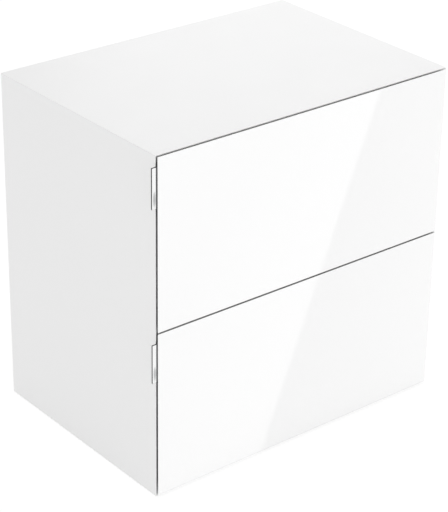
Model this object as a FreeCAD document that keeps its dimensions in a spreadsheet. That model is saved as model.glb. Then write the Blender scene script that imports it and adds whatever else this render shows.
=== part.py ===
import FreeCAD, Part
import math
import os
import Sketcher

# A sideboard of mitred boards with two full-width drawers, which hangs on a wall, in millimetres.
# The origin is at the middle of the base, X runs along the front, the drawers open towards -Y, Z is up.

os.makedirs("parts", exist_ok=True)
document = FreeCAD.newDocument("sideboard")
sheet = document.addObject("Spreadsheet::Sheet", "sizes")


class Size:
    """A length: its formula in the sheet's names and its value now."""

    def __init__(self, formula, value):
        self.formula = formula
        self.value = value

    def __add__(self, other):
        other = as_size(other)
        return Size(f"({self.formula} + {other.formula})", self.value + other.value)

    def __sub__(self, other):
        other = as_size(other)
        return Size(f"({self.formula} - {other.formula})", self.value - other.value)

    def __mul__(self, factor):
        return Size(f"({self.formula} * {factor!r})", self.value * factor)

    def __truediv__(self, divisor):
        return Size(f"({self.formula} / {divisor!r})", self.value / divisor)

    def __neg__(self):
        return self * -1


def as_size(value):
    """A plain number as a Size; a Size as it is."""
    return value if isinstance(value, Size) else Size(repr(value), value)


def cell(alias, millimetres):
    """Write one driving dimension into the sheet under its name."""
    row = len(sheet.getUsedCells()) // 2 + 1
    sheet.set(f"A{row}", alias)
    sheet.set(f"B{row}", str(millimetres))
    sheet.setAlias(f"B{row}", alias)
    return Size(f"sizes.{alias}", millimetres)


# The closed cabinet: each reveal is how far a board's face stops short of the corner at a mitred gap
cabinet_width = cell("cabinet_width", 700)
cabinet_depth = cell("cabinet_depth", 490)
cabinet_height = cell("cabinet_height", 700)
carcass_board = cell("carcass_board", 19)
front_board = cell("front_board", 19)
front_reveal = cell("front_reveal", 2)
middle_gap = cell("middle_gap", 3.5)
corner_round = cell("corner_round", 1)
arris_round = cell("arris_round", 0.5)

# Back panel, and the two rails behind it that are screwed to the wall
back_board = cell("back_board", 8)
back_groove = cell("back_groove", 8)
groove_play = cell("groove_play", 0.5)
wall_rail_board = cell("wall_rail_board", 16)
wall_rail_height = cell("wall_rail_height", 90)
wall_hole_diameter = cell("wall_hole_diameter", 9)
wall_hole_inset = cell("wall_hole_inset", 81)

# Biscuits and dowels
biscuit_length = cell("biscuit_length", 56)
biscuit_width = cell("biscuit_width", 20)
biscuit_thickness = cell("biscuit_thickness", 4)
biscuit_inset = cell("biscuit_inset", 12)
biscuit_margin = cell("biscuit_margin", 20)
rail_dowel_diameter = cell("rail_dowel_diameter", 8)
rail_dowel_length = cell("rail_dowel_length", 30)
rail_dowel_depth = cell("rail_dowel_depth", 12)
rail_dowel_margin = cell("rail_dowel_margin", 22)
box_dowel_diameter = cell("box_dowel_diameter", 6)
box_dowel_length = cell("box_dowel_length", 30)
box_dowel_depth = cell("box_dowel_depth", 9)
box_dowel_margin = cell("box_dowel_margin", 40)
dowel_play = cell("dowel_play", 0.5)

# Drawer boxes: their room below, above and behind
box_board = cell("box_board", 14)
box_rise = cell("box_rise", 40)
box_headroom = cell("box_headroom", 66)
box_back_room = cell("box_back_room", 27)
bottom_board = cell("bottom_board", 8)
bottom_rise = cell("bottom_rise", 12)
bottom_groove = cell("bottom_groove", 6)

# Telescopic ball runners
runner_height = cell("runner_height", 45.5)
runner_thickness = cell("runner_thickness", 12.7)
runner_setback = cell("runner_setback", 2)
runner_back_room = cell("runner_back_room", 42)
runner_rise = cell("runner_rise", 60)
runner_play = cell("runner_play", 0.6)
steel = cell("steel", 1.4)
steel_bend = cell("steel_bend", 1)
ball_diameter = cell("ball_diameter", 3.6)
ball_play = cell("ball_play", 0.1)
ball_pitch = cell("ball_pitch", 24)
cage_length = cell("cage_length", 136)
cage_width = cell("cage_width", 5)
cage_thickness = cell("cage_thickness", 1.2)

# Pull tabs
tab_height = cell("tab_height", 80)
tab_drop = cell("tab_drop", 18)
tab_reach = cell("tab_reach", 10.5)
tab_thickness = cell("tab_thickness", 2)
tab_setback = cell("tab_setback", 0.4)
tab_clearance = cell("tab_clearance", 0.6)
tab_leg = cell("tab_leg", 22)
tab_bend = cell("tab_bend", 4)
tab_corner = cell("tab_corner", 0.8)

# Screws
runner_screw_diameter = cell("runner_screw_diameter", 4)
runner_screw_length = cell("runner_screw_length", 12)
runner_head_diameter = cell("runner_head_diameter", 7)
runner_head_height = cell("runner_head_height", 1.6)
runner_screw_margin = cell("runner_screw_margin", 40)
front_screw_diameter = cell("front_screw_diameter", 4)
front_screw_length = cell("front_screw_length", 25)
front_head_diameter = cell("front_head_diameter", 8)
front_head_height = cell("front_head_height", 2.5)
front_screw_inset = cell("front_screw_inset", 45)
tab_screw_diameter = cell("tab_screw_diameter", 3)
tab_screw_length = cell("tab_screw_length", 10)
tab_head_diameter = cell("tab_head_diameter", 5.4)
tab_screw_place = cell("tab_screw_place", 12.5)
tab_screw_margin = cell("tab_screw_margin", 18)
pilot_spare = cell("pilot_spare", 1)
document.recompute()

HALF_DIAGONAL = math.sqrt(0.5)
DIAGONAL = math.sqrt(2)
PAN_HEAD_TAPER = 0.72
TOUCH = 0.01
SIDES = (("left", -1), ("right", 1))
UP = FreeCAD.Vector(0, 0, 1)
GROUND = as_size(0)

# Planes that several pieces share
half_width = cabinet_width / 2
half_depth = cabinet_depth / 2
inner_half_width = half_width - carcass_board
half_front = half_width - front_reveal
front_face = -half_depth
front_back = front_face + front_board
carcass_reveal = tab_setback + tab_thickness + tab_clearance
carcass_front = front_face + carcass_reveal
carcass_front_inside = carcass_front + carcass_board
top_inside = cabinet_height - carcass_board
rail_front = half_depth - wall_rail_board
back_front = rail_front - back_board
front_height = (cabinet_height - front_reveal * 2 - middle_gap) / 2

# Drawers: the lower edge of each front, and the base of each box
FRONT_BASES = {"upper": front_reveal + front_height + middle_gap, "lower": front_reveal}
BOX_BASES = {drawer: low + box_rise for drawer, low in FRONT_BASES.items()}
box_height = front_height - box_rise - box_headroom
box_half_width = inner_half_width - runner_thickness
box_inner_half = box_half_width - box_board
box_back_end = back_front - box_back_room

nodes = []


def set_size(item, **sizes):
    """Bind properties of an object to formulas in the sheet."""
    for name, size in sizes.items():
        item.setExpression(name, as_size(size).formula)


def place(item, x, y, z):
    """Bind the three coordinates of an object's place."""
    for axis, size in zip("xyz", (x, y, z)):
        item.setExpression(f".Placement.Base.{axis}", as_size(size).formula)


def finish_node(item, label):
    """Name a finished piece; its label names its file."""
    item.Label = label
    nodes.append(item)


def span(first, second):
    """Two places in rising order."""
    return sorted((first, second), key=lambda size: size.value)


def block(name, x, y, z):
    """A rectangular board between a low and a high place along each axis."""
    item = document.addObject("Part::Box", name)
    set_size(item, Length=x[1] - x[0], Width=y[1] - y[0], Height=z[1] - z[0])
    place(item, x[0], y[0], z[0])
    return item


def rod(name, diameter, length, start, direction):
    """A round rod, hole or dowel from a start point along a direction."""
    item = document.addObject("Part::Cylinder", name)
    set_size(item, Radius=diameter / 2, Height=length)
    item.Placement.Rotation = FreeCAD.Rotation(UP, FreeCAD.Vector(*direction))
    place(item, *start)
    return item


def cone(name, diameter, end_diameter, length, start, direction):
    """A round head that narrows from its diameter to its end diameter along a direction."""
    item = document.addObject("Part::Cone", name)
    set_size(item, Radius1=diameter / 2, Radius2=end_diameter / 2, Height=length)
    item.Placement.Rotation = FreeCAD.Rotation(UP, FreeCAD.Vector(*direction))
    place(item, *start)
    return item


def group(name, items):
    """Several separate solids in one object."""
    item = document.addObject("Part::Compound", name)
    item.Links = items
    return item


def fuse(name, base, tool):
    """Two solids made one."""
    item = document.addObject("Part::Fuse", name)
    item.Base = base
    item.Tool = tool
    return item


def cut(name, base, tools):
    """The base without its tools, which are clear of each other."""
    item = document.addObject("Part::Cut", name)
    item.Base = base
    item.Tool = group(f"{name}_tools", tools)
    return item


def lies_at(edge, axis, *places):
    """Whether all of an edge lies at one of some places along an axis."""
    return any(all(abs(vertex.Point[axis] - spot.value) < TOUCH for vertex in edge.Vertexes)
               for spot in places)


def runs_along(edge, axis):
    """Whether an edge's two ends differ along an axis."""
    start, end = edge.Vertexes[0].Point, edge.Vertexes[-1].Point
    return abs(start[axis] - end[axis]) > TOUCH


def round_edges(name, base, radius, chosen):
    """The base with a round on every edge for which chosen(edge) is true."""
    document.recompute()
    item = document.addObject("Part::Fillet", name)
    item.Base = base
    edges = enumerate(base.Shape.Edges, 1)
    item.Edges = [(number, radius.value, radius.value) for number, edge in edges if chosen(edge)]
    return item


def profile_body(name, role, points, low, length):
    """A body of one closed outline on one of its own planes, padded from low along the normal."""
    body = document.addObject("PartDesign::Body", name)
    sketch = body.newObject("Sketcher::SketchObject", f"{name}_outline")
    plane = next(plane for plane in body.Origin.OriginFeatures if plane.Role == role)
    sketch.AttachmentSupport = [(plane, "")]
    sketch.MapMode = "FlatFace"
    sketch.setExpression(".AttachmentOffset.Base.z", low.formula)
    corners = [FreeCAD.Vector(across.value, along.value, 0) for across, along in points]
    for number, start in enumerate(corners):
        sketch.addGeometry(Part.LineSegment(start, corners[(number + 1) % len(corners)]))
    for number, point in enumerate(points):
        following = (number + 1) % len(points)
        sketch.addConstraint(Sketcher.Constraint("Coincident", number, 2, following, 1))
        for kind, size in zip(("DistanceX", "DistanceY"), point):
            index = sketch.addConstraint(Sketcher.Constraint(kind, -1, 1, number, 1, size.value))
            sketch.renameConstraint(index, f"{kind}{number}")
            sketch.setExpression(f"Constraints.{kind}{number}", size.formula)
    pad = body.newObject("PartDesign::Pad", f"{name}_pad")
    pad.Profile = sketch
    set_size(pad, Length=length)
    document.recompute()
    return body


def round_body(body, radius, chosen):
    """Round the edges of a body's last feature for which chosen(edge) is true."""
    base = body.Tip
    edges = enumerate(base.Shape.Edges, 1)
    fillet = body.newObject("PartDesign::Fillet", f"{body.Name}_round")
    fillet.Base = (base, [f"Edge{number}" for number, edge in edges if chosen(edge)])
    set_size(fillet, Radius=radius)
    document.recompute()


def mitred_board(name, across, along, low, board, mitres, axis=(0, 0, 1), degrees=0):
    """A board with its outer face at low, mitred at 45 degrees on the edges marked 1 in mitres.

    across and along are the outer face's spans, and mitres marks the low and high edge of each.
    The board is then turned about an axis through the origin."""
    item = document.addObject("Part::Wedge", name)
    set_size(item, Ymin=low, Xmin=across[0], Xmax=across[1], Zmin=along[0], Zmax=along[1],
             Ymax=low + board,
             X2min=across[0] + board * mitres[0], X2max=across[1] - board * mitres[1],
             Z2min=along[0] + board * mitres[2], Z2max=along[1] - board * mitres[3])
    item.Placement.Rotation = FreeCAD.Rotation(FreeCAD.Vector(*axis), degrees)
    return item


def pan_screw(name, point, direction, diameter, length, head_diameter, head_height):
    """A pan-head screw: the point lies under its head and the shank runs along the direction."""
    outwards = [-part for part in direction]
    head = cone(f"{name}_head", head_diameter, head_diameter * PAN_HEAD_TAPER, head_height, point, outwards)
    return fuse(name, head, rod(f"{name}_shank", diameter, length, point, direction))


# Back panel and wall rails: the panel slides into grooves of the carcass, and a rail is dowelled
# between the sides behind its upper and its lower edge. The wall screws go through both.
panel_half = inner_half_width + back_groove
groove_half = panel_half + groove_play
back_groove_cut = block("back_groove_cut", (-groove_half, groove_half), (back_front, rail_front),
                        (carcass_board - back_groove - groove_play, top_inside + back_groove + groove_play))
RAIL_SPANS = {
    "upper": (top_inside - wall_rail_height, top_inside),
    "lower": (carcass_board, carcass_board + wall_rail_height),
}


def wall_holes(level):
    """The two wall holes of a rail, through the back panel and the rail."""
    low, high = RAIL_SPANS[level]
    return [rod(f"wall_hole_{level}_{side}", wall_hole_diameter, back_board + wall_rail_board,
                ((inner_half_width - wall_hole_inset) * sign, back_front, (low + high) / 2), (0, 1, 0))
            for side, sign in SIDES]


def rail_end_rods(kind, level, side, sign, play):
    """The two dowels at one end of a wall rail, or with some play the holes that take them."""
    low, high = RAIL_SPANS[level]
    start_x = (inner_half_width + rail_dowel_depth + play) * sign
    rows = (("low", low + rail_dowel_margin), ("high", high - rail_dowel_margin))
    return [rod(f"{kind}_{level}_{side}_{row}", rail_dowel_diameter, rail_dowel_length + play * 2,
                (start_x, half_depth - wall_rail_board / 2, z), (-sign, 0, 0)) for row, z in rows]


back_holes = []
rail_dowels = []
rail_seats = {"left": [], "right": []}
for level, rail_height in RAIL_SPANS.items():
    holes = wall_holes(level)
    back_holes += holes
    seats = []
    for side, sign in SIDES:
        rail_dowels += rail_end_rods("rail_dowel", level, side, sign, GROUND)
        end_seats = rail_end_rods("rail_seat", level, side, sign, dowel_play)
        rail_seats[side] += end_seats
        seats += end_seats
    rail = block(f"wall_rail_{level}_raw", (-inner_half_width, inner_half_width), (rail_front, half_depth),
                 rail_height)
    finish_node(cut(f"wall_rail_{level}_cut", rail, holes + seats), f"wall_rail_{level}")
back_sheet = block("back_sheet", (-panel_half, panel_half), (back_front, rail_front),
                   (carcass_board - back_groove, top_inside + back_groove))
finish_node(cut("back_panel_cut", back_sheet, back_holes), "back_panel")
finish_node(group("rail_dowel_group", rail_dowels), "rail_dowels")

# Biscuits: three flat beech keys across each mitred corner
BISCUIT_ROWS = ("front", "middle", "back")
biscuit_first = carcass_front_inside + biscuit_margin + biscuit_length / 2
biscuit_last = back_front - biscuit_margin - biscuit_length / 2
biscuit_places = (biscuit_first, (biscuit_first + biscuit_last) / 2, biscuit_last)
MITRE_DEGREES = 45


def biscuit(name, sign, level, middle):
    """One key, square to the mitre of a corner on the side of the sign, at the base or the top."""
    centre_x = (half_width - biscuit_inset) * sign
    centre_z = cabinet_height - biscuit_inset if level == "top" else biscuit_inset
    slope = sign if level == "top" else -sign
    half_sum = (biscuit_width + biscuit_thickness) * (HALF_DIAGONAL / 2)
    half_difference = (biscuit_width - biscuit_thickness) * (HALF_DIAGONAL / 2)
    item = document.addObject("Part::Box", name)
    set_size(item, Length=biscuit_width, Width=biscuit_length, Height=biscuit_thickness)
    item.Placement.Rotation = FreeCAD.Rotation(FreeCAD.Vector(0, 1, 0), MITRE_DEGREES * slope)
    low_y = middle - biscuit_length / 2
    if slope > 0:
        place(item, centre_x - half_sum, low_y, centre_z + half_difference)
    else:
        place(item, centre_x - half_difference, low_y, centre_z - half_sum)
    return item


biscuits = {}
for side, sign in SIDES:
    for level in ("base", "top"):
        biscuits[side, level] = [biscuit(f"biscuit_{side}_{level}_{row}", sign, level, middle)
                                 for row, middle in zip(BISCUIT_ROWS, biscuit_places)]
finish_node(group("biscuit_group", sum(biscuits.values(), [])), "mitre_biscuits")

# Ball runners: a steel channel on the carcass side, one that moves half as far as the drawer, and one
# on the drawer. Balls in cages roll between their lips, above and below the runner's middle.
runner_front = carcass_front_inside + runner_setback
runner_length = back_front - runner_back_room - runner_front
runner_middle_y = runner_front + runner_length / 2
runner_screw_first = runner_front + runner_screw_margin
runner_screw_last = runner_front + runner_length - runner_screw_margin
runner_screw_places = (runner_screw_first, runner_middle_y, runner_screw_last)
middle_web = steel + runner_head_height + runner_play
drawer_lip = middle_web + steel + runner_play
outer_lip = runner_thickness - steel - runner_play
ball_line = (drawer_lip + outer_lip) / 2
track = ball_diameter + ball_play * 2
cabinet_half = runner_height / 2
middle_half = cabinet_half - steel - track
drawer_half = middle_half - steel - track
CAGE_ROWS = {"outer": cabinet_half - steel - track / 2, "inner": middle_half - steel - track / 2}
BALL_STEPS = (-2, -1, 0, 1, 2)


def runner_x(sign, offset):
    """A place across a runner, measured from the carcass side towards the drawer."""
    return (inner_half_width - offset) * sign


def channel(name, sign, middle, web, web_inside, lip_end, half_height):
    """A steel channel along Y with rounded bends: both faces of its web, and where its lips end."""
    web_x, inside_x, lip_x = (runner_x(sign, offset) for offset in (web, web_inside, lip_end))
    inner = half_height - steel
    points = [(web_x, middle - half_height), (lip_x, middle - half_height), (lip_x, middle - inner),
              (inside_x, middle - inner), (inside_x, middle + inner), (lip_x, middle + inner),
              (lip_x, middle + half_height), (web_x, middle + half_height)]
    body = profile_body(name, "XZ_Plane", points, -(runner_front + runner_length), runner_length)
    round_body(body, steel_bend, lambda edge: runs_along(edge, 1) and lies_at(edge, 0, web_x))
    return body


def screwed_channel(label, sign, middle, web, web_inside, lip_end, half_height, into):
    """A channel with its three screws, whose shanks run along X in the direction into."""
    raw = channel(f"{label}_channel", sign, middle, web, web_inside, lip_end, half_height)
    screws = []
    holes = []
    for number, y in enumerate(runner_screw_places):
        under_head = (runner_x(sign, web_inside), y, middle)
        screws.append(pan_screw(f"{label}_screw_{number}", under_head, (into, 0, 0), runner_screw_diameter,
                                runner_screw_length, runner_head_diameter, runner_head_height))
        holes.append(rod(f"{label}_screw_hole_{number}", runner_screw_diameter,
                         runner_screw_length + pilot_spare, under_head, (into, 0, 0)))
    finish_node(cut(f"{label}_cut", raw, holes), label)
    return screws, holes


def ball_places(sign, centre):
    """The centres of the five balls of one row."""
    return [(runner_x(sign, ball_line), runner_middle_y + ball_pitch * step, centre) for step in BALL_STEPS]


def caged_row(name, sign, centre):
    """One cage strip with its seats, and its balls."""
    across = span(runner_x(sign, ball_line - cage_width / 2), runner_x(sign, ball_line + cage_width / 2))
    low = centre - cage_thickness / 2
    strip = block(f"{name}_strip", across,
                  (runner_middle_y - cage_length / 2, runner_middle_y + cage_length / 2),
                  (low, centre + cage_thickness / 2))
    seats = []
    balls = []
    for number, (x, y, z) in enumerate(ball_places(sign, centre)):
        seats.append(rod(f"{name}_seat_{number}", track, cage_thickness, (x, y, low), (0, 0, 1)))
        ball = document.addObject("Part::Sphere", f"{name}_ball_{number}")
        set_size(ball, Radius=ball_diameter / 2)
        place(ball, x, y, z)
        balls.append(ball)
    return cut(f"{name}_cage", strip, seats), balls


cabinet_screws = []
side_screw_holes = {"left": [], "right": []}
for drawer, base in BOX_BASES.items():
    middle = base + runner_rise
    for side, sign in SIDES:
        screws, holes = screwed_channel(f"{drawer}_cabinet_member_{side}", sign, middle, GROUND, steel,
                                        outer_lip, cabinet_half, sign)
        cabinet_screws += screws
        side_screw_holes[side] += holes
        finish_node(channel(f"{drawer}_middle_channel_{side}", sign, middle, middle_web, middle_web + steel,
                            outer_lip, middle_half), f"{drawer}_middle_member_{side}")
    for row_name, row in CAGE_ROWS.items():
        cages = []
        balls = []
        for side, sign in SIDES:
            for end, centre in (("top", middle + row), ("foot", middle - row)):
                cage, row_balls = caged_row(f"{drawer}_{row_name}_{side}_{end}", sign, centre)
                cages.append(cage)
                balls += row_balls
        finish_node(group(f"{drawer}_{row_name}_cage_group", cages), f"{drawer}_{row_name}_ball_cages")
        finish_node(group(f"{drawer}_{row_name}_ball_group", balls), f"{drawer}_{row_name}_balls")
finish_node(group("cabinet_screw_group", cabinet_screws), "cabinet_member_screws")

# Carcass: four boards mitred to each other and, across a gap, to the drawer fronts
envelope_block = block("envelope_block", (-half_width, half_width), (-half_depth, half_depth),
                       (GROUND, cabinet_height))
envelope = round_edges("envelope", envelope_block, corner_round,
                       lambda edge: runs_along(edge, 1) or lies_at(edge, 1, half_depth))
whole_width = (-half_width, half_width)
whole_height = (GROUND, cabinet_height)
front_first = (carcass_front, half_depth)
front_last = (-half_depth, -carcass_front)
CARCASS = {
    "side_left": (front_last, whole_height, -half_width, (0, 1, 1, 1), (0, 0, 1), -90),
    "side_right": (front_first, whole_height, -half_width, (1, 0, 1, 1), (0, 0, 1), 90),
    "top_panel": (whole_width, front_first, -cabinet_height, (1, 1, 1, 0), (1, 0, 0), -90),
    "bottom_panel": (whole_width, front_last, GROUND, (1, 1, 0, 1), (1, 0, 0), 90),
}
CARCASS_CUTS = {
    "side_left": rail_seats["left"] + side_screw_holes["left"] + biscuits["left", "base"]
    + biscuits["left", "top"],
    "side_right": rail_seats["right"] + side_screw_holes["right"] + biscuits["right", "base"]
    + biscuits["right", "top"],
    "top_panel": biscuits["left", "top"] + biscuits["right", "top"],
    "bottom_panel": biscuits["left", "base"] + biscuits["right", "base"],
}
for name, (across, along, low, mitres, axis, degrees) in CARCASS.items():
    raw = mitred_board(f"{name}_raw", across, along, low, carcass_board, mitres, axis, degrees)
    soft = round_edges(f"{name}_soft", raw, arris_round, lambda edge: lies_at(edge, 1, carcass_front))
    shell = document.addObject("Part::Common", f"{name}_shell")
    shell.Base = soft
    shell.Tool = envelope
    finish_node(cut(f"{name}_cut", shell, [back_groove_cut] + CARCASS_CUTS[name]), name)


# Drawer boxes: two sides with the front and back boards dowelled between them, round a grooved bottom
BOX_ENDS = {"front": (front_back, front_back + box_board), "back": (box_back_end - box_board, box_back_end)}


def box_end_rods(kind, drawer, side, sign, end, play):
    """The three dowels at one corner of a box, or with some play the holes that take them."""
    base = BOX_BASES[drawer]
    heights = (base + box_dowel_margin, base + box_height / 2, base + box_height - box_dowel_margin)
    low_y, high_y = BOX_ENDS[end]
    start_x = (box_inner_half + box_dowel_depth + play) * sign
    return [rod(f"{kind}_{drawer}_{side}_{end}_{number}", box_dowel_diameter, box_dowel_length + play * 2,
                (start_x, (low_y + high_y) / 2, z), (-sign, 0, 0)) for number, z in enumerate(heights)]


def box_bottom(drawer):
    """The bottom board, and the groove for it in the other four boards."""
    low = BOX_BASES[drawer] + bottom_rise
    height = (low, low + bottom_board)
    reach = box_inner_half + bottom_groove
    front_end = BOX_ENDS["front"][1] - bottom_groove
    back_end = BOX_ENDS["back"][0] + bottom_groove
    board = block(f"{drawer}_bottom_board", (-reach, reach), (front_end, back_end), height)
    finish_node(board, f"{drawer}_box_bottom")
    wide = reach + groove_play
    return block(f"{drawer}_bottom_groove", (-wide, wide), (front_end - groove_play, back_end + groove_play),
                 height)


def box_side(drawer, side, sign, cuts):
    """A side board of a box, with its upper edges softened."""
    base = BOX_BASES[drawer]
    top = base + box_height
    raw = block(f"{drawer}_box_side_{side}_raw", span(box_inner_half * sign, box_half_width * sign),
                (front_back, box_back_end), (base, top))
    soft = round_edges(f"{drawer}_box_side_{side}_soft", raw, arris_round,
                       lambda edge: lies_at(edge, 2, top) and not lies_at(edge, 1, front_back))
    finish_node(cut(f"{drawer}_box_side_{side}_cut", soft, cuts), f"{drawer}_box_side_{side}")


def box_end(drawer, end, cuts):
    """The front or back board of a box, between its sides."""
    base = BOX_BASES[drawer]
    top = base + box_height
    raw = block(f"{drawer}_box_{end}_raw", (-box_inner_half, box_inner_half), BOX_ENDS[end], (base, top))
    soft = round_edges(f"{drawer}_box_{end}_soft", raw, arris_round,
                       lambda edge: lies_at(edge, 2, top) and runs_along(edge, 0))
    finish_node(cut(f"{drawer}_box_{end}_cut", soft, cuts), f"{drawer}_box_{end}")


# Fronts: mitred at the sides and at the cabinet's outer edge, square at the gap between them, and
# screwed on from inside the box
def front_fixings(kind, drawer, make):
    """One screw or screw hole at each of the four fixings of a front."""
    base = BOX_BASES[drawer]
    rows = (("low", base + front_screw_inset), ("high", base + box_height - front_screw_inset))
    return [make(f"{kind}_{drawer}_{side}_{row}",
                 ((box_inner_half - front_screw_inset) * sign, BOX_ENDS["front"][1], z))
            for side, sign in SIDES for row, z in rows]


def front_screw(name, point):
    """A screw from inside the box, through its front board, into the front."""
    return pan_screw(name, point, (0, -1, 0), front_screw_diameter, front_screw_length,
                     front_head_diameter, front_head_height)


def front_screw_hole(name, point):
    """The hole of such a screw, with a little room past its end."""
    return rod(name, front_screw_diameter, front_screw_length + pilot_spare, point, (0, -1, 0))


def drawer_front(drawer, holes):
    """A front with its face's arrises softened."""
    low = FRONT_BASES[drawer]
    mitred_ends = (0, 1) if drawer == "upper" else (1, 0)
    raw = mitred_board(f"{drawer}_front_raw", (-half_front, half_front), (low, low + front_height),
                       front_face, front_board, (1, 1) + mitred_ends)
    soft = round_edges(f"{drawer}_front_soft", raw, arris_round, lambda edge: lies_at(edge, 1, front_face))
    finish_node(cut(f"{drawer}_front_cut", soft, holes), f"{drawer}_front")


# Pull tabs: a chromed steel strip screwed to the front's left mitre, and bent to stand out sideways
INTO_MITRE = (1, -1, 0)


def tab_fixings(kind, drawer, make):
    """One screw or screw hole at each of the two fixings of a pull tab, on the outside of its leg."""
    high = FRONT_BASES[drawer] + front_height - tab_drop
    outwards = tab_thickness * HALF_DIAGONAL
    x = -half_front + tab_screw_place - outwards
    y = front_face + tab_screw_place + outwards
    rows = (("low", high - tab_height + tab_screw_margin), ("high", high - tab_screw_margin))
    return [make(f"{kind}_{drawer}_{row}", (x, y, z)) for row, z in rows]


def countersunk(name, point, shank_length):
    """A countersunk head, flush with the strip's outside, on its shank."""
    depth = (tab_head_diameter - tab_screw_diameter) / 2
    head = cone(f"{name}_head", tab_head_diameter, tab_screw_diameter, depth, point, INTO_MITRE)
    return fuse(name, head, rod(f"{name}_shank", tab_screw_diameter, shank_length, point, INTO_MITRE))


def tab_screw(name, point):
    """A small screw through the tab into the front."""
    return countersunk(name, point, tab_screw_length)


def tab_screw_hole(name, point):
    """The hole of such a screw, with a little room past its end."""
    return countersunk(name, point, tab_screw_length + pilot_spare)


def pull_tab(drawer, holes):
    """The bent strip, with its bend and its two free corners rounded."""
    face = front_face + tab_setback
    rear = face + tab_thickness
    bend_x = -half_front + tab_setback
    inner_bend_x = bend_x - tab_thickness * (DIAGONAL - 1)
    tip_x = -half_width - tab_reach
    leg_end = bend_x + tab_leg * HALF_DIAGONAL
    leg_end_y = face + tab_leg * HALF_DIAGONAL
    offset = tab_thickness * HALF_DIAGONAL
    points = [(tip_x, face), (bend_x, face), (leg_end, leg_end_y), (leg_end - offset, leg_end_y + offset),
              (inner_bend_x, rear), (tip_x, rear)]
    low = FRONT_BASES[drawer] + front_height - tab_drop - tab_height
    body = profile_body(f"{drawer}_pull_strip", "XY_Plane", points, low, tab_height)
    round_body(body, tab_bend, lambda edge: runs_along(edge, 2) and lies_at(edge, 0, bend_x))
    round_body(body, tab_bend - tab_thickness,
               lambda edge: runs_along(edge, 2) and lies_at(edge, 0, inner_bend_x))
    round_body(body, tab_corner, lambda edge: runs_along(edge, 1) and lies_at(edge, 0, tip_x))
    finish_node(cut(f"{drawer}_pull_tab_cut", body, holes), f"{drawer}_pull_tab")


for drawer, base in BOX_BASES.items():
    middle = base + runner_rise
    groove = box_bottom(drawer)
    front_holes = front_fixings("front_screw_hole", drawer, front_screw_hole)
    end_cuts = {"front": [groove] + front_holes, "back": [groove]}
    member_screws = []
    dowels = []
    for side, sign in SIDES:
        screws, side_cuts = screwed_channel(f"{drawer}_drawer_member_{side}", sign, middle, runner_thickness,
                                            runner_thickness - steel, drawer_lip, drawer_half, -sign)
        member_screws += screws
        for end in BOX_ENDS:
            dowels += box_end_rods("box_dowel", drawer, side, sign, end, GROUND)
            seats = box_end_rods("box_seat", drawer, side, sign, end, dowel_play)
            side_cuts = side_cuts + seats
            end_cuts[end] = end_cuts[end] + seats
        box_side(drawer, side, sign, [groove] + side_cuts)
    for end, cuts in end_cuts.items():
        box_end(drawer, end, cuts)
    tab_holes = tab_fixings("tab_screw_hole", drawer, tab_screw_hole)
    drawer_front(drawer, front_holes + tab_holes)
    pull_tab(drawer, tab_holes)
    finish_node(group(f"{drawer}_member_screw_group", member_screws), f"{drawer}_drawer_member_screws")
    finish_node(group(f"{drawer}_dowel_group", dowels), f"{drawer}_box_dowels")
    finish_node(group(f"{drawer}_front_screw_group", front_fixings("front_screw", drawer, front_screw)),
                f"{drawer}_front_screws")
    finish_node(group(f"{drawer}_tab_screw_group", tab_fixings("tab_screw", drawer, tab_screw)),
                f"{drawer}_tab_screws")

document.recompute()
for item in document.Objects:
    faults = {"Invalid", "Error"} & set(item.State)
    if faults:
        raise RuntimeError(f"{item.Label} is {', '.join(faults)}")
for item in nodes:
    if item.Shape.isNull() or not item.Shape.isValid():
        raise RuntimeError(f"{item.Label} has no valid shape")
for item in nodes:
    item.Shape.exportStep(f"parts/{item.Label}.step")
    print(f"{item.Label}: {len(item.Shape.Solids)} solids, {item.Shape.Volume / 1000:.2f} cm3")
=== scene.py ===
"""The looks of a white two-drawer sideboard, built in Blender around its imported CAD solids, in metres.

X runs along the front, the drawers open towards -Y and Z is up, as in the part's own frame."""
import math

import bmesh
import bpy
from mathutils import Matrix, Vector


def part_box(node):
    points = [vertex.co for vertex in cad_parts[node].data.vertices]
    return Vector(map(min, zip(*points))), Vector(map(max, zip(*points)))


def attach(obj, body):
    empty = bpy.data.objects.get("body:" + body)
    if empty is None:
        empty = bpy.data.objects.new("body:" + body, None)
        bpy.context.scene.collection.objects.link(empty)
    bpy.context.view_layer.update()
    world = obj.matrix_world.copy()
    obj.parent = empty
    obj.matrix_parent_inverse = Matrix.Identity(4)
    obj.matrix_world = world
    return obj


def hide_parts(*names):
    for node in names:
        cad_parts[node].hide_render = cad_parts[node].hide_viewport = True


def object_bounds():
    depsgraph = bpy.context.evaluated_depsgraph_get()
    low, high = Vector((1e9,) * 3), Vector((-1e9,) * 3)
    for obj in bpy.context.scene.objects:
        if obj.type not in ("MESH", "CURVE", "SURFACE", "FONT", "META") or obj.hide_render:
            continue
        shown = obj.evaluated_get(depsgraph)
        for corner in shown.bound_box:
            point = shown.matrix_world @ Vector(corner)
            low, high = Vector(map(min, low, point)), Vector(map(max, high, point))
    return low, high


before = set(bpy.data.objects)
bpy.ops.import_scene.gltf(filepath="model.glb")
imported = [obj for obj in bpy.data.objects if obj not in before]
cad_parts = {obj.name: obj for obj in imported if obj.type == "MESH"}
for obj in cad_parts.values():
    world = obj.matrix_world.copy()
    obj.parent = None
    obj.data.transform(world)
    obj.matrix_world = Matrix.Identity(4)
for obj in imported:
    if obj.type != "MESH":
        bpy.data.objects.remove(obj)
cad_box = [list(corner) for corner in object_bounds()]

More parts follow.
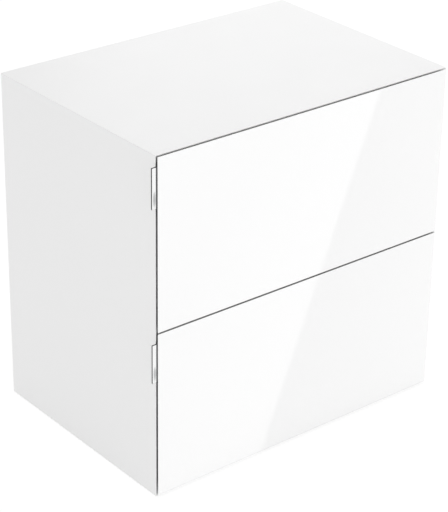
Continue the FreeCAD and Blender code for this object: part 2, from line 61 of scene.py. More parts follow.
# Camera: about 3.8 m from the cabinet, at its front left and above it, with a long lens that looks down
# at the front, the top and the left side.
CAMERA_PLACE = (-2.16084, -2.65333, 2.03203)
CAMERA_TURN = math.radians(39.196)
CAMERA_TILT = math.radians(-26.809)
CAMERA_ROLL = math.radians(0.885)
SENSOR_WIDTH = 36
LENS = 134.75
CLIP_END = 100
camera = bpy.data.objects.new("camera", bpy.data.cameras.new("camera"))
bpy.context.scene.collection.objects.link(camera)
camera.data.sensor_width = SENSOR_WIDTH
camera.data.lens = LENS
camera.data.clip_end = CLIP_END
camera.location = CAMERA_PLACE
camera.rotation_euler = (Matrix.Rotation(-CAMERA_TURN, 3, "Z")
                         @ Matrix.Rotation(math.pi / 2 + CAMERA_TILT, 3, "X")
                         @ Matrix.Rotation(CAMERA_ROLL, 3, "Z")).to_euler()
bpy.context.scene.camera = camera
bpy.context.scene.view_settings.view_transform = "Standard"

# Studio floor: a wide disc of pale seamless paper. Rays from the camera, from gloss and through glass see
# it lit nearly to white, and it keeps the cabinet's soft shadow.
FLOOR_RADIUS = 14
FLOOR_SEGMENTS = 96
FLOOR_DROP = 0.0005
FLOOR_PALE = 0.95
FLOOR_GLOW = 0.75
FLOOR_WHITE = 1.1


class Shade:
    """A socket among the nodes of a material or the world. Python's operators on it add Math nodes."""

    def __init__(self, tree, socket=None):
        self.tree = tree
        self.socket = socket

    def node(self, kind, settings=None, sockets=None, output=0):
        """Add a node with its settings and its sockets' values or links, and return one of its outputs."""
        made = self.tree.nodes.new("ShaderNode" + kind)
        for name, value in (settings or {}).items():
            if name == "stops":
                ramp = made.color_ramp
                for number, (place, colour) in enumerate(value):
                    stop = ramp.elements[number] if number < 2 else ramp.elements.new(place)
                    stop.position = place
                    stop.color = (*colour, 1)
            else:
                setattr(made, name, value)
        for name, value in (sockets or {}).items():
            if isinstance(value, Shade):
                self.tree.links.new(value.socket, made.inputs[name])
            else:
                made.inputs[name].default_value = value
        return Shade(self.tree, made.outputs[output])

    def maths(self, operation, *values, clamp=False):
        """A Math node on this socket and up to two more values."""
        return self.node("Math", {"operation": operation, "use_clamp": clamp},
                         dict(enumerate((self, *values))))

    def between(self, low, high):
        """How far this value is from low to high, from 0 to 1."""
        return self.node("MapRange", {"interpolation_type": "SMOOTHSTEP"},
                         {"Value": self, "From Min": low, "From Max": high})

    def __add__(self, other):
        return self.maths("ADD", other)

    __radd__ = __add__

    def __sub__(self, other):
        return self.maths("SUBTRACT", other)

    def __rsub__(self, other):
        return self * -1 + other

    def __mul__(self, other):
        return self.maths("MULTIPLY", other)

    __rmul__ = __mul__

    def __gt__(self, other):
        return self.maths("GREATER_THAN", other)

    def __lt__(self, other):
        return self.maths("LESS_THAN", other)

    def __abs__(self):
        return self.maths("ABSOLUTE")


def surface_material(name):
    """A new material, its Principled shader, and the object's own coordinates for its pattern."""
    material = bpy.data.materials.new(name)
    material.use_nodes = True
    at = Shade(material.node_tree).node("TexCoord", output="Object")
    return material, material.node_tree.nodes["Principled BSDF"], at


def plug(shader, **values):
    """Set or link sockets of a shader; a name's underscores stand for spaces."""
    for name, value in values.items():
        socket = shader.inputs[name.replace("_", " ")]
        if isinstance(value, Shade):
            value.tree.links.new(value.socket, socket)
        else:
            socket.default_value = value


def background_ray(shade):
    """1 for a ray from the camera, from gloss or through glass, and 0 for one that carries light."""
    from_camera, from_gloss, through_glass = (shade.node("LightPath", output=f"Is {kind} Ray")
                                              for kind in ("Camera", "Glossy", "Transmission"))
    return (from_camera + from_gloss).maths("ADD", through_glass, clamp=True)


def mesh_object(name, shape, material=None, body=None):
    """A finished object from a bmesh, at the origin, with its material and the body that it rides on."""
    mesh = bpy.data.meshes.new(name)
    shape.to_mesh(mesh)
    shape.free()
    made = bpy.data.objects.new(name, mesh)
    bpy.context.scene.collection.objects.link(made)
    if material:
        mesh.materials.append(material)
    if body:
        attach(made, body)
    return made


pale_paper, shader, at = surface_material("pale_paper")
plug(shader, Roughness=0.9, Specular_IOR_Level=0.1, Base_Color=(FLOOR_PALE, FLOOR_PALE, FLOOR_PALE, 1))
lit = Shade(pale_paper.node_tree, shader.outputs["BSDF"])
glow = at.node("Emission", {}, {"Color": (1, 1, 1, 1), "Strength": FLOOR_WHITE})
paper = at.node("MixShader", {}, {0: background_ray(at) * FLOOR_GLOW, 1: lit, 2: glow})
plug(pale_paper.node_tree.nodes["Material Output"], Surface=paper)
floor_shape = bmesh.new()
bmesh.ops.create_circle(floor_shape, cap_ends=True, segments=FLOOR_SEGMENTS, radius=FLOOR_RADIUS,
                        matrix=Matrix.Translation((0, 0, -FLOOR_DROP)))
mesh_object("studio_floor", floor_shape, pale_paper)

# Studio light: an even pale dome and three soft lamps. A large one far off at the front right lights the
# fronts, a weak one lights the left side, and one high up behind the right side shines across the top.
DOME_LIGHT = 0.80
world = bpy.data.worlds.new("studio_dome")
bpy.context.scene.world = world
world.use_nodes = True
seen = background_ray(Shade(world.node_tree))
plug(world.node_tree.nodes["Background"], Color=(1, 1, 1, 1), Strength=seen * (1 - DOME_LIGHT) + DOME_LIGHT)


def soft_lamp(name, place, aim, size, power, mirrored):
    """An area lamp of a width and height at a place, aimed at a point. Glossy surfaces may mirror it."""
    lamp = bpy.data.objects.new(name, bpy.data.lights.new(name, "AREA"))
    bpy.context.scene.collection.objects.link(lamp)
    lamp.data.shape = "RECTANGLE"
    lamp.data.size, lamp.data.size_y = size
    lamp.data.energy = power
    lamp.location = place
    lamp.rotation_euler = (Vector(aim) - Vector(place)).to_track_quat("-Z", "Y").to_euler()
    lamp.visible_glossy = mirrored


soft_lamp("key_lamp", place=(4.4, -11.6, 1.3), aim=(0, 0, 0.3), size=(8.6, 2.9), power=422, mirrored=False)
soft_lamp("side_lamp", place=(-3.4, -0.6, 0.48), aim=(0, 0, 0.3), size=(1.8, 0.9), power=7.6, mirrored=False)
soft_lamp("top_lamp", place=(2.95, 3.2, 2.5), aim=(0, 0, 0.7), size=(2.2, 2.2), power=21.5, mirrored=True)

# Reflected card: it lies on the floor in front of the cabinet and is seen only in glossy surfaces. It is
# white up to a slanting edge and grey beyond it, which gives the fronts their slanting bright band.
# Its tones are brightnesses by distance beyond that edge.
CARD_EDGE = ((-0.103, -0.24), (1.70, -1.758))
CARD_LEFT = 1.0
CARD_RIGHT = 3.0
CARD_LEVEL = 0.002
CARD_WHITE = 1.13
CARD_TONES = [(-0.45, 0.97), (-0.001, 1.13), (0.001, 0.56), (0.40, 0.80)]
CARD_TONE_SPAN = 2
CARD_HIDDEN_FROM = ("camera", "diffuse", "transmission", "shadow", "volume_scatter")


def axes(at):
    """The three coordinates as values."""
    split = at.node("SeparateXYZ", {}, {0: at}).socket.node
    return [Shade(at.tree, output) for output in split.outputs]


studio_card, shader, at = surface_material("studio_card")
x, y, z = axes(at)
(near_x, near_y), (far_x, far_y) = CARD_EDGE
past_edge = x - near_x - (near_y - y) * ((far_x - near_x) / (near_y - far_y))
card_stops = [(0.5 + place / CARD_TONE_SPAN, (tone / CARD_WHITE,) * 3) for place, tone in CARD_TONES]
tone = at.node("ValToRGB", {"stops": card_stops}, {"Fac": past_edge * (1 / CARD_TONE_SPAN) + 0.5})
plug(shader, Base_Color=(0, 0, 0, 1), Emission_Strength=CARD_WHITE, Emission_Color=tone)
card_shape = bmesh.new()
card_corners = [(near_x - CARD_LEFT, near_y), (near_x + CARD_RIGHT, near_y),
                (far_x + CARD_RIGHT, far_y), (far_x - CARD_LEFT, far_y)]
card_shape.faces.new([card_shape.verts.new((*corner, CARD_LEVEL)) for corner in card_corners])
card = mesh_object("reflected_card", card_shape, studio_card)
for ray in CARD_HIDDEN_FROM:
    setattr(card, "visible_" + ray, False)

# Carcass: four mitred boards in sprayed white satin lacquer, with the faint orange peel of a spray gun,
# and plain white melamine on their inner faces.
CARCASS_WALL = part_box("side_right")[0].x
CARCASS_MIDDLE = cad_box[1][2] / 2
FACE_MARGIN = 0.0003
SATIN_WHITE = (0.90, 0.90, 0.90)
MELAMINE_WHITE = (0.84, 0.84, 0.835)


def noise(at, waves, detail=2, output="Fac"):
    """Soft random mottling with this many waves to a metre."""
    return at.node("TexNoise", {}, {"Vector": at, "Scale": waves, "Detail": detail}, output)


def colour_mix(share, first, second):
    """A colour between two by a share. Each is three numbers or a linked colour."""
    first, second = (colour if isinstance(colour, Shade) else (*colour, 1) for colour in (first, second))
    return share.node("Mix", {"data_type": "RGBA"}, {0: share, 6: first, 7: second}, output=2)


def varied(share, colour, darker, lighter):
    """A colour that a share takes from a little darker to a little lighter."""
    return colour_mix(share, [part - darker for part in colour], [part + lighter for part in colour])


def relief(height, depth, strength):
    """The normal of a surface with this height map, whose full range is depth metres."""
    return height.node("Bump", {}, {"Height": height, "Distance": depth, "Strength": strength})


def finish_nodes(material, *names):
    """Give CAD nodes their material."""
    for name in names:
        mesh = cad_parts[name].data
        mesh.materials.clear()
        mesh.materials.append(material)


satin, shader, at = surface_material("white_satin_lacquer")
x, y, z = axes(at)
past_wall = abs(x) > CARCASS_WALL + FACE_MARGIN
past_shelf = abs(z - CARCASS_MIDDLE) > CARCASS_WALL + FACE_MARGIN
outside = past_wall.maths("MAXIMUM", past_shelf)
peel = noise(at, waves=380)
print_grain = noise(at, waves=2600, detail=1)
lacquer_colour = varied(noise(at, waves=5, detail=1), SATIN_WHITE, darker=0.006, lighter=0.006)
melamine_colour = varied(print_grain, MELAMINE_WHITE, darker=0.015, lighter=0.01)
plug(shader, Base_Color=colour_mix(outside, melamine_colour, lacquer_colour),
     Roughness=0.5 - outside * 0.14 + noise(at, waves=14) * 0.05,
     Normal=relief(peel * outside + (1 - outside) * print_grain * 0.5, depth=0.00004, strength=0.6))
finish_nodes(satin, "side_left", "side_right", "top_panel", "bottom_panel")

# Drawer fronts: boards in polished high-gloss white, which mirrors the room sharply. Their backs are
# white melamine, and their square edges at the gap between them are mid grey, painted shade in the gap.
FRONT_FACE, FRONT_BACK = (corner.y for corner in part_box("lower_front"))
GAP_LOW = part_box("lower_front")[1].z
GAP_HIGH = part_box("upper_front")[0].z
GAP_MARGIN = 0.0001
GAP_ARRIS = 0.0006
GAP_SHADE_GREY = (0.50, 0.50, 0.50)
GLOSS_WHITE = (0.915, 0.915, 0.915)
gloss, shader, at = surface_material("white_gloss_lacquer")
x, y, z = axes(at)
back = y > FRONT_BACK - FACE_MARGIN
at_gap = abs(z - (GAP_LOW + GAP_HIGH) / 2) < (GAP_HIGH - GAP_LOW) / 2 + GAP_MARGIN
# The square edges in the gap between the fronts are grey: painted shade that keeps the gap dark.
gap_edge_shade = at_gap * (y > FRONT_FACE + GAP_ARRIS)
grain = noise(at, waves=2600, detail=1)
lacquer_colour = varied(noise(at, waves=4, detail=1), GLOSS_WHITE, darker=0.003, lighter=0.003)
band_and_gap_shade_colour = varied(grain, GAP_SHADE_GREY, darker=0.01, lighter=0.02)
melamine_colour = varied(grain, MELAMINE_WHITE, darker=0.015, lighter=0.01)
front_colour = colour_mix(gap_edge_shade, lacquer_colour, band_and_gap_shade_colour)
plug(shader, Base_Color=colour_mix(back, front_colour, melamine_colour),
     Roughness=0.02 + back * 0.50, Coat_Weight=1 - back, Coat_Roughness=0.015,
     Normal=relief(noise(at, waves=120, detail=1) * (1 - back) * 0.3 + grain * back * 0.5,
                   depth=0.00001, strength=0.5))
finish_nodes(gloss, "upper_front", "lower_front")

# Back panel: a fibreboard sheet with white paper on both faces, slid into grooves of the carcass. The
# paper has a fine canvas emboss.
PAPER_WHITE = (0.80, 0.80, 0.79)
THREAD_WAVES = 1500


def stretched(at, x=1, y=1, z=1):
    """Coordinates with their axes scaled; a scale below 1 draws a pattern out along that axis."""
    return at.node("Mapping", {}, {"Vector": at, "Scale": (x, y, z)})


back_paper, shader, at = surface_material("white_back_paper")
emboss = (noise(stretched(at, z=0.12), waves=THREAD_WAVES, detail=1)
          + noise(stretched(at, x=0.12), waves=THREAD_WAVES, detail=1))
cloud = noise(at, waves=7)
plug(shader, Base_Color=varied(cloud, PAPER_WHITE, darker=0.012, lighter=0.012),
     Roughness=0.55 + cloud * 0.08, Normal=relief(emboss, depth=0.00006, strength=0.5))
finish_nodes(back_paper, "back_panel")

# Wall rails: raw particle board, sawn to width. Its faces are fine pressed chips, and its sawn edges and
# the wall holes show the coarse, darker core.
RAIL_FRONT, RAIL_BACK = (corner.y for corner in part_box("wall_rail_upper"))
SKIN = 0.0004
CHIP_DRIFT = 0.012
CHIP_RIM = 0.05
CHIP_TONES = [(0.0, (0.30, 0.19, 0.105)), (0.35, (0.52, 0.37, 0.23)), (0.6, (0.62, 0.46, 0.30)),
              (0.85, (0.70, 0.55, 0.38)), (1.0, (0.40, 0.27, 0.15))]
CHIP_SHADOW = (0.62, 0.55, 0.48, 1)


def chips(at, waves, lengthening):
    """One random value for each chip, and how near its rim is."""
    along = stretched(at, x=1 / lengthening)
    tone = at.node("TexVoronoi", {"feature": "F1"}, {"Vector": along, "Scale": waves}, output="Color")
    rim = at.node("TexVoronoi", {"feature": "DISTANCE_TO_EDGE"}, {"Vector": along, "Scale": waves})
    return axes(tone)[0], rim


particle_board, shader, at = surface_material("raw_particle_board")
x, y, z = axes(at)
core = (y > RAIL_FRONT + SKIN) * (y < RAIL_BACK - SKIN)
drift = at.node("VectorMath", {"operation": "SCALE"},
                {0: noise(at, waves=60, output="Color"), "Scale": CHIP_DRIFT})
warped = at.node("VectorMath", {"operation": "ADD"}, {0: at, 1: drift})
fine_tone, fine_rim = chips(warped, waves=620, lengthening=2.2)
coarse_tone, coarse_rim = chips(warped, waves=230, lengthening=2.6)
tone = fine_tone * (1 - core) + coarse_tone * core
rim = fine_rim * (1 - core) + coarse_rim * core
chip_colour = tone.node("ValToRGB", {"stops": CHIP_TONES}, {"Fac": tone})
# The chips' rims are darkened by CHIP_SHADOW: painted shade in the cracks between the chips.
crack_shade_colour = tone.node("Mix", {"data_type": "RGBA", "blend_type": "MULTIPLY"},
                         {0: 1.0, 6: chip_colour, 7: CHIP_SHADOW}, output=2)
chip_face = rim.between(0.0, CHIP_RIM)
plug(shader, Base_Color=colour_mix(chip_face, crack_shade_colour, chip_colour), Roughness=0.78 + tone * 0.12,
     Normal=relief(tone * 0.5 + chip_face * 0.5, depth=0.00025, strength=0.6))
finish_nodes(particle_board, "wall_rail_upper", "wall_rail_lower")

# Drawer boxes: boards in light grey melamine with a fine woven print, their upper edges banded with
# grey plastic. They are held together by dowels, and the bottoms lie in grooves.
DRAWERS = ("upper", "lower")
BOX_BOARDS = ("front", "back", "side_left", "side_right", "bottom")
BOX_GREY = (0.46, 0.465, 0.47)
BAND_DEPTH = 0.0009
BAND_MARGIN = 0.0002
melamine, shader, at = surface_material("grey_melamine")
x, y, z = axes(at)
band_heights = [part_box(f"{drawer}_box_side_left")[1].z - BAND_DEPTH / 2 for drawer in DRAWERS]
upper_band, lower_band = (abs(z - height) < BAND_DEPTH / 2 + BAND_MARGIN for height in band_heights)
band = upper_band + lower_band
threads = (noise(stretched(at, x=0.05, y=0.05), waves=THREAD_WAVES, detail=1)
           + noise(stretched(at, z=0.05), waves=THREAD_WAVES, detail=1)) * 0.5
patches = noise(at, waves=9, detail=3)
weave_colour = varied(threads * 0.8 + patches * 0.2, BOX_GREY, darker=0.10, lighter=0.08)
band_and_gap_shade_colour = varied(noise(at, waves=40), BOX_GREY, darker=0.03, lighter=-0.01)
plug(shader, Base_Color=colour_mix(band, weave_colour, band_and_gap_shade_colour),
     Roughness=0.48 - band * 0.12 + patches * 0.06,
     Normal=relief(threads * (1 - band), depth=0.00005, strength=0.5))
finish_nodes(melamine, *(f"{drawer}_box_{board}" for drawer in DRAWERS for board in BOX_BOARDS))

# Dowels and biscuits: turned and pressed beech, with the short dark flecks of its rays. They are glued
# into holes and slots of the boards that they join.
BEECH_BROWNS = ((0.60, 0.42, 0.26), (0.74, 0.57, 0.39))
FLECK_BROWNS = ((0.42, 0.26, 0.14), (0.50, 0.33, 0.19))
FLECK_RANGE = (0.62, 0.7)
beech, shader, at = surface_material("beech")
grain = noise(stretched(at, x=0.06), waves=900, detail=3)
flecks = noise(stretched(at, x=0.15), waves=2400, detail=0).between(*FLECK_RANGE)
plug(shader,
     Base_Color=colour_mix(flecks, colour_mix(grain, *BEECH_BROWNS), colour_mix(grain, *FLECK_BROWNS)),
     Roughness=0.6 + grain * 0.1, Normal=relief(grain, depth=0.0001, strength=0.4))
finish_nodes(beech, "rail_dowels", "mitre_biscuits", "upper_box_dowels", "lower_box_dowels")

# Balls: hardened and polished steel, with a trace of grease in their lustre. They roll in rows between
# the lips of the runners' channels.
BALL_ROWS = ("outer", "inner")
BALL_GREYS = ((0.62, 0.62, 0.63), (0.74, 0.74, 0.75))
ball_steel, shader, at = surface_material("polished_ball_steel")
smear = noise(at, waves=300)
plug(shader, Metallic=1.0, Base_Color=colour_mix(smear, *BALL_GREYS), Roughness=0.05 + smear * 0.12)
finish_nodes(ball_steel, *(f"{drawer}_{row}_balls" for drawer in DRAWERS for row in BALL_ROWS))

# Ball cages: moulded dark grey plastic strips, fine-grained from the mould. Each holds a row of balls at
# its spacing and travels along with it.
CAGE_GREYS = ((0.045, 0.047, 0.05), (0.07, 0.072, 0.076))
cage_plastic, shader, at = surface_material("cage_plastic")
mould_grain = noise(at, waves=1800)
plug(shader, Base_Color=colour_mix(noise(at, waves=60), *CAGE_GREYS),
     Roughness=0.38 + mould_grain * 0.15, Normal=relief(mould_grain, depth=0.00003, strength=0.5))
finish_nodes(cage_plastic, *(f"{drawer}_{row}_ball_cages" for drawer in DRAWERS for row in BALL_ROWS))

# Screws: zinc-plated steel with a cross recess and a rolled thread. Pan heads hold the runners and the
# fronts, and countersunk heads hold the pull tabs.
SCREW_SEGMENTS = 24
THREAD_PITCH = 0.0016
THREAD_TURN = [(0.72, 0.35), (1, 0.7), (0.72, 1)]
PLAIN_SHARE = 0.1
TIP_RADII = 2.4
RECESS_TAPER = (0.5, 0.7, 1)
NEXT_SCREW_TURN = 1.9
MERGE_WITHIN = 1e-6
SCREW_GREYS = ((0.56, 0.57, 0.59), (0.70, 0.71, 0.72))
# Diameter, length, recess as slot width, slot length and depth, and head profile as radius and height.
SCREWS = {
    "runner": (0.004, 0.012, (0.0008, 0.0036, 0.0009),
               [(0, 0.0016), (0.0016, 0.00155), (0.0028, 0.0012), (0.0035, 0.0004), (0.0035, 0), (0.002, 0)]),
    "front": (0.004, 0.025, (0.0010, 0.0042, 0.0013),
              [(0, 0.0025), (0.0016, 0.0024), (0.0031, 0.0018), (0.004, 0.0006), (0.004, 0), (0.002, 0)]),
    "tab": (0.003, 0.010, (0.0006, 0.0028, 0.0009),
            [(0, 0), (0.0026, 0), (0.0027, -0.0001), (0.0015, -0.0012)])}
SIDES = {"left": -1, "right": 1}
RUNNER_STEEL = 0.0014
RUNNER_FRONT, RUNNER_BACK = (corner.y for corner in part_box("upper_cabinet_member_left"))
RUNNER_HEIGHTS = {drawer: sum(corner.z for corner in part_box(f"{drawer}_cabinet_member_left")) / 2
                  for drawer in DRAWERS}
RUNNER_SCREW_INSET = 0.04
RUNNER_SCREW_ROWS = (RUNNER_FRONT + RUNNER_SCREW_INSET, (RUNNER_FRONT + RUNNER_BACK) / 2,
                     RUNNER_BACK - RUNNER_SCREW_INSET)
BOX_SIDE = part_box("upper_box_side_right")[1].x
FRONT_SCREW_X = 0.2593
FRONT_SCREW_INSET = 0.045
TAB_SCREW_PLACE = (-0.33691, -0.23109)
TAB_SCREW_INSET = 0.018
DIAGONAL = math.sqrt(0.5)
INTO_MITRE = (DIAGONAL, -DIAGONAL, 0)
zinc_screw, shader, at = surface_material("zinc_plated_screw")
plating = noise(at, waves=700, detail=3)
plug(shader, Metallic=1.0, Base_Color=colour_mix(plating, *SCREW_GREYS), Roughness=0.26 + plating * 0.16,
     Normal=relief(noise(at, waves=2500, detail=1), depth=0.00001, strength=0.5))


def lathe(profile):
    """A closed turned shape about Z, from a profile of radius and height that starts and ends on the axis."""
    shape = bmesh.new()
    points = [shape.verts.new((radius, 0, height)) for radius, height in profile]
    edges = [shape.edges.new(pair) for pair in zip(points, points[1:])]
    bmesh.ops.spin(shape, geom=points + edges, axis=(0, 0, 1), cent=(0, 0, 0), angle=math.tau,
                   steps=SCREW_SEGMENTS, use_merge=True)
    bmesh.ops.remove_doubles(shape, verts=shape.verts, dist=MERGE_WITHIN)
    bmesh.ops.recalc_face_normals(shape, faces=shape.faces[:])
    return shape


def carve(piece, cutter):
    """Cut a closed cutter shape out of a finished piece."""
    tool = mesh_object(piece.name + "_cutter", cutter)
    modifier = piece.modifiers.new("carve", "BOOLEAN")
    modifier.operation = "DIFFERENCE"
    modifier.solver = "EXACT"
    modifier.object = tool
    bpy.context.view_layer.update()
    carved = bpy.data.meshes.new_from_object(piece.evaluated_get(bpy.context.evaluated_depsgraph_get()))
    piece.modifiers.clear()
    piece.data = carved
    bpy.data.objects.remove(tool)


def pattern_of(piece):
    """A finished piece's shape, to be copied to its places. The piece itself goes."""
    pattern = bmesh.new()
    pattern.from_mesh(piece.data)
    bpy.data.objects.remove(piece)
    return pattern


def screw_pattern(diameter, length, recess, head):
    """A screw that points down the Z axis, with a head profile that ends at its shank."""
    shank = diameter / 2
    plain = head[-1][1] - length * PLAIN_SHARE
    turns = int((length + plain - shank * TIP_RADII) / THREAD_PITCH)
    thread = [(shank * share, plain - THREAD_PITCH * (turn + fall))
              for turn in range(turns) for share, fall in THREAD_TURN]
    screw = mesh_object("screw_pattern", lathe([*head, (shank, plain), *thread, (0, -length)]))
    slot_width, slot_length, depth = recess
    for degrees in (0, 90):
        blade = bmesh.new()
        corners = bmesh.ops.create_cube(blade, size=1.0)["verts"]
        bmesh.ops.scale(blade, vec=(slot_width, slot_length, depth * 2), verts=corners)
        bmesh.ops.scale(blade, vec=RECESS_TAPER, verts=[corner for corner in corners if corner.co.z < 0])
        bmesh.ops.rotate(blade, verts=corners, matrix=Matrix.Rotation(math.radians(degrees), 3, "Z"))
        bmesh.ops.translate(blade, vec=(0, 0, head[0][1]), verts=corners)
        carve(screw, blade)
    return pattern_of(screw)


def placed(pattern, places):
    """One shape of a pattern's copies, each at a place with its Z axis against a direction."""
    whole = bmesh.new()
    for number, (place, direction) in enumerate(places):
        turn = (-Vector(direction)).to_track_quat("Z", "Y").to_matrix().to_4x4()
        copy = pattern.copy()
        bmesh.ops.transform(copy, verts=copy.verts, matrix=Matrix.Translation(place) @ turn
                            @ Matrix.Rotation(number * NEXT_SCREW_TURN, 4, "Z"))
        single = bpy.data.meshes.new("single")
        copy.to_mesh(single)
        copy.free()
        whole.from_mesh(single)
        bpy.data.meshes.remove(single)
    return whole


def drive_in(name, kind, places, body, node):
    """Screws of one kind at their places, which ride on a body and take a CAD node's place."""
    screws = mesh_object(name, placed(screw_patterns[kind], places), zinc_screw, body)
    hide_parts(node)


screw_patterns = {kind: screw_pattern(*sizes) for kind, sizes in SCREWS.items()}
into_sides = [((sign * (CARCASS_WALL - RUNNER_STEEL), row, height), (sign, 0, 0))
              for height in RUNNER_HEIGHTS.values() for sign in SIDES.values() for row in RUNNER_SCREW_ROWS]
drive_in("runner_to_side_screws", "runner", into_sides, "cabinet", "cabinet_member_screws")
into_mitres = {}
for drawer, height in RUNNER_HEIGHTS.items():
    body = f"{drawer}_drawer"
    into_box = [((sign * (BOX_SIDE + RUNNER_STEEL), row, height), (-sign, 0, 0))
                for sign in SIDES.values() for row in RUNNER_SCREW_ROWS]
    drive_in(f"{drawer}_runner_to_box_screws", "runner", into_box, body, f"{drawer}_drawer_member_screws")
    low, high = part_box(f"{drawer}_box_side_left")
    box_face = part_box(f"{drawer}_box_front")[1].y
    into_front = [((sign * FRONT_SCREW_X, box_face, level), (0, -1, 0)) for sign in SIDES.values()
                  for level in (low.z + FRONT_SCREW_INSET, high.z - FRONT_SCREW_INSET)]
    drive_in(f"{drawer}_box_to_front_screws", "front", into_front, body, f"{drawer}_front_screws")
    low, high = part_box(f"{drawer}_pull_tab")
    into_mitres[drawer] = [((*TAB_SCREW_PLACE, level), INTO_MITRE)
                           for level in (low.z + TAB_SCREW_INSET, high.z - TAB_SCREW_INSET)]
    drive_in(f"{drawer}_tab_to_front_screws", "tab", into_mitres[drawer], body, f"{drawer}_tab_screws")

# Runner channels: 1.4 mm zinc-plated steel strip, rolled to three channels that run one inside the other.
# Their lips are pressed outwards round the balls, and their webs are punched for screws and to save weight.
BALL_LINE = 0.00815
BALL_ZONE = 0.00145
LIP_STEP = 0.0003
LIP_SLOPE = 0.0006
BEND_RADIUS = 0.001
BEND_STEPS = 5
STRIP_ARRIS = 0.00015
SHARP = 1.0
HOLE_SEGMENTS = 20
CHANNEL_GREYS = ((0.58, 0.59, 0.61), (0.70, 0.71, 0.73))
# Distances of the web and the lips' ends from the carcass side, height, and holes as place, length, height.
CHANNELS = {
    "cabinet": (0.0007, 0.0107, 0.0455,
                [(-0.205, 0.006, 0.006), (-0.181, 0.0042, 0.0042), (-0.150, 0.0045, 0.010),
                 (-0.105, 0.034, 0.012), (-0.060, 0.011, 0.0045), (-0.021, 0.0042, 0.0042),
                 (0.018, 0.011, 0.0045), (0.062, 0.034, 0.012), (0.107, 0.0045, 0.010),
                 (0.139, 0.0042, 0.0042), (0.163, 0.006, 0.006)]),
    "middle": (0.0043, 0.0107, 0.0351,
               [(-0.205, 0.005, 0.005), (-0.165, 0.028, 0.010), (-0.118, 0.028, 0.010),
                (-0.021, 0.036, 0.010), (0.076, 0.028, 0.010), (0.123, 0.028, 0.010),
                (0.163, 0.005, 0.005)]),
    "drawer": (0.0120, 0.0056, 0.0247,
               [(-0.205, 0.006, 0.006), (-0.181, 0.0042, 0.0042), (-0.155, 0.012, 0.0045),
                (-0.062, 0.0045, 0.009), (-0.021, 0.0042, 0.0042), (0.020, 0.0045, 0.009),
                (0.075, 0.012, 0.0045), (0.139, 0.0042, 0.0042), (0.163, 0.006, 0.006)])}
zinc_steel, shader, at = surface_material("zinc_plated_steel")
rolling = noise(stretched(at, y=0.03), waves=900)
bloom = noise(at, waves=45, detail=3)
plug(shader, Metallic=1.0, Base_Color=colour_mix(bloom, *CHANNEL_GREYS),
     Roughness=0.24 + bloom * 0.12 + rolling * 0.08, Normal=relief(rolling, depth=0.00001, strength=0.5))


def section_line(web, lip_end, height):
    """The centre line of a channel's section from lip to lip, as distance from the carcass and height."""
    top = height / 2 - RUNNER_STEEL / 2
    bend_top = top - LIP_STEP
    angles = [step / BEND_STEPS * math.pi / 2 for step in range(BEND_STEPS + 1)]
    zone_start, zone_end = sorted(abs(BALL_LINE + side * BALL_ZONE - web) for side in (-1, 1))
    half = [(BEND_RADIUS * (1 - math.cos(angle)), bend_top - BEND_RADIUS * (1 - math.sin(angle)))
            for angle in angles]
    half += [(zone_start - LIP_SLOPE, bend_top), (zone_start, top), (zone_end, top),
             (abs(lip_end - web), bend_top)]
    opening = math.copysign(1, lip_end - web)
    line = [(reach, -level) for reach, level in reversed(half)] + half
    return [(web + opening * reach, level) for reach, level in line]


def thickened(line, thickness):
    """A closed outline that lies half a thickness to each side of an open line."""
    points = [Vector(point) for point in line]
    rims = ([], [])
    for number, point in enumerate(points):
        before = (point - points[number - 1]).normalized() if number else None
        after = (points[number + 1] - point).normalized() if number + 1 < len(points) else None
        along = ((before or after) + (after or before)).normalized()
        reach = thickness / 2 / along.dot(after or before)
        for rim, side in zip(rims, (1, -1)):
            rim.append(point + Vector((-along.y, along.x)) * side * reach)
    return rims[0] + rims[1][::-1]


def raise_faces(shape, faces, move):
    """Extrude faces by a move, and return their new corners."""
    made = bmesh.ops.extrude_face_region(shape, geom=faces)["geom"]
    corners = [part for part in made if isinstance(part, bmesh.types.BMVert)]
    bmesh.ops.translate(shape, vec=move, verts=corners)
    return corners


def soften(shape, width, segments):
    """Bevel the edges of a closed shape at which it turns by more than SHARP, in radians."""
    sharp = [edge for edge in shape.edges if len(edge.link_faces) == 2 and edge.calc_face_angle() > SHARP]
    bmesh.ops.bevel(shape, geom=sharp, affect="EDGES", offset=width, segments=segments, profile=0.5,
                    material=-1, clamp_overlap=True)


def punches(holes, first, last):
    """Round-ended punches through a web, between two distances from the carcass."""
    shape = bmesh.new()
    for place, length, height in holes:
        width = min(length, height)
        rim = bmesh.ops.create_circle(shape, cap_ends=True, segments=HOLE_SEGMENTS, radius=width / 2,
                                      matrix=Matrix.Rotation(math.radians(90), 4, "Y"))["verts"]
        for corner in rim:
            corner.co += Vector((first, math.copysign((length - width) / 2, corner.co.y),
                                 math.copysign((height - width) / 2, corner.co.z)))
        far_rim = raise_faces(shape, [rim[0].link_faces[0]], (last - first, 0, 0))
        bmesh.ops.translate(shape, vec=(0, place, 0), verts=rim + far_rim)
    bmesh.ops.recalc_face_normals(shape, faces=shape.faces[:])
    return shape


def at_runner(pattern, drawer, side):
    """A copy of a shape drawn as distance from the left carcass side, moved to a runner."""
    copy = pattern.copy()
    bmesh.ops.translate(copy, vec=(-CARCASS_WALL, 0, RUNNER_HEIGHTS[drawer]), verts=copy.verts)
    if side == "right":
        bmesh.ops.scale(copy, vec=(-1, 1, 1), verts=copy.verts)
        bmesh.ops.reverse_faces(copy, faces=copy.faces)
    return copy


